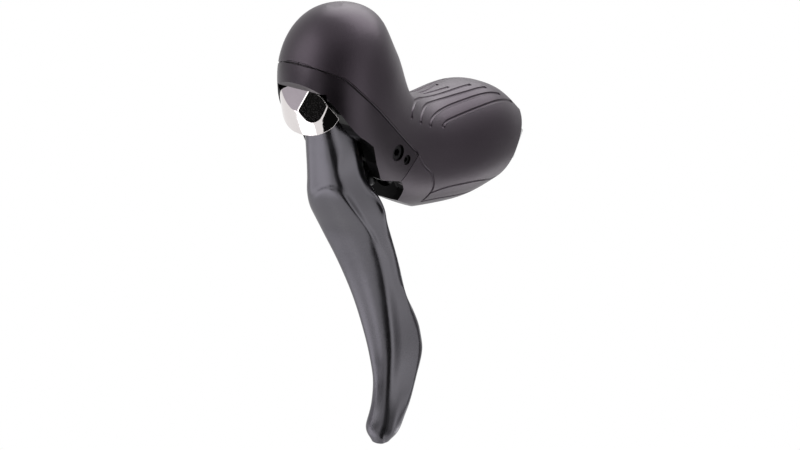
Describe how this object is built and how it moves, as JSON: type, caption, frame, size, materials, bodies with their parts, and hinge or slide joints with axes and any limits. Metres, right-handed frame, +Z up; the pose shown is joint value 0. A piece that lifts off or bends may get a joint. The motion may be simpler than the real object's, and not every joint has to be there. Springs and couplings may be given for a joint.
{
  "type": "hydraulic brake lever",
  "caption": "Left-hand hydraulic brake lever for a drop handlebar: rubber hood with a tall horn, moulded bracket, bar clamp, master cylinder and a flared metal blade.",
  "frame": {"origin": "middle of the bar clamp, on the handlebar's axis", "axes": "-X forward, the way the lever points; -Y the outer side, away from the bike's middle; +Z up. The handlebar's axis leans 30 degrees back from +Z"},
  "size_m": [0.1174, 0.0409, 0.1644],
  "materials": {
    "hood_rubber": "matte moulded rubber",
    "bracket_resin": "fine moulded texture",
    "blade_alloy": "satin dark anodised",
    "head_black": "gloss black",
    "cap_chrome": "polished",
    "steel": "bright steel",
    "black_steel": "black oxide",
    "alloy": "clear anodised",
    "seal_rubber": "soft black",
    "lid_resin": "moulded",
    "spring_steel": "spring wire",
    "bush_bronze": "sintered bronze"
  },
  "bodies": {
    "bracket": {"bracket_body": "bracket_resin", "hood": "hood_rubber", "clamp_band": "steel", "clamp_nut": "steel", "clamp_bolt": "black_steel", "reservoir_diaphragm": "seal_rubber", "reservoir_lid": "lid_resin", "lid_screws": "black_steel", "bleed_screw": "alloy", "bleed_seal": "seal_rubber", "pivot_axle": "steel", "anchor_screw": "black_steel", "lever_spring": "spring_steel", "piston_clip": "steel", "piston_spring": "spring_steel"},
    "lever": {"lever_blade": "blade_alloy", "lever_head": "head_black", "blade_pins": "steel", "nose_cap": "cap_chrome", "cap_screw": "black_steel", "pivot_bush_near": "bush_bronze", "pivot_bush_far": "bush_bronze"},
    "piston": {"piston": "alloy", "primary_seal": "seal_rubber", "secondary_seal": "seal_rubber", "push_rod": "steel"},
    "reach_adjuster": {"reach_screw": "black_steel"},
    "stroke_adjuster": {"free_stroke_screw": "black_steel"}
  },
  "joints": [
    {"name": "lever_pull", "type": "hinge", "parent": "bracket", "child": "lever", "pos_m": [-0.0697, 0, 0.0115], "axis": [0, -1, 0], "range_deg": [0, 22], "stiffness_Nm_per_rad": 0.8, "springref_deg": -17.19},
    {"name": "piston_slide", "type": "slide", "parent": "bracket", "child": "piston", "axis": [1, 0, 0], "range_m": [0, 0.0055], "deforming": ["piston_spring"]},
    {"name": "reach_turn", "type": "hinge", "parent": "lever", "child": "reach_adjuster", "pos_m": [-0.0742, -0.002, 0.019], "axis": [1, 0, 0], "range_deg": [-720, 720]},
    {"name": "free_stroke_turn", "type": "hinge", "parent": "lever", "child": "stroke_adjuster", "pos_m": [-0.0782, -0.002, -0.0015], "axis": [1, 0, 0], "range_deg": [-720, 720]}
  ],
  "couplings": [
    {"joint": "piston_slide", "follows": "lever_pull", "m_per_rad": 0.0136}
  ]
}
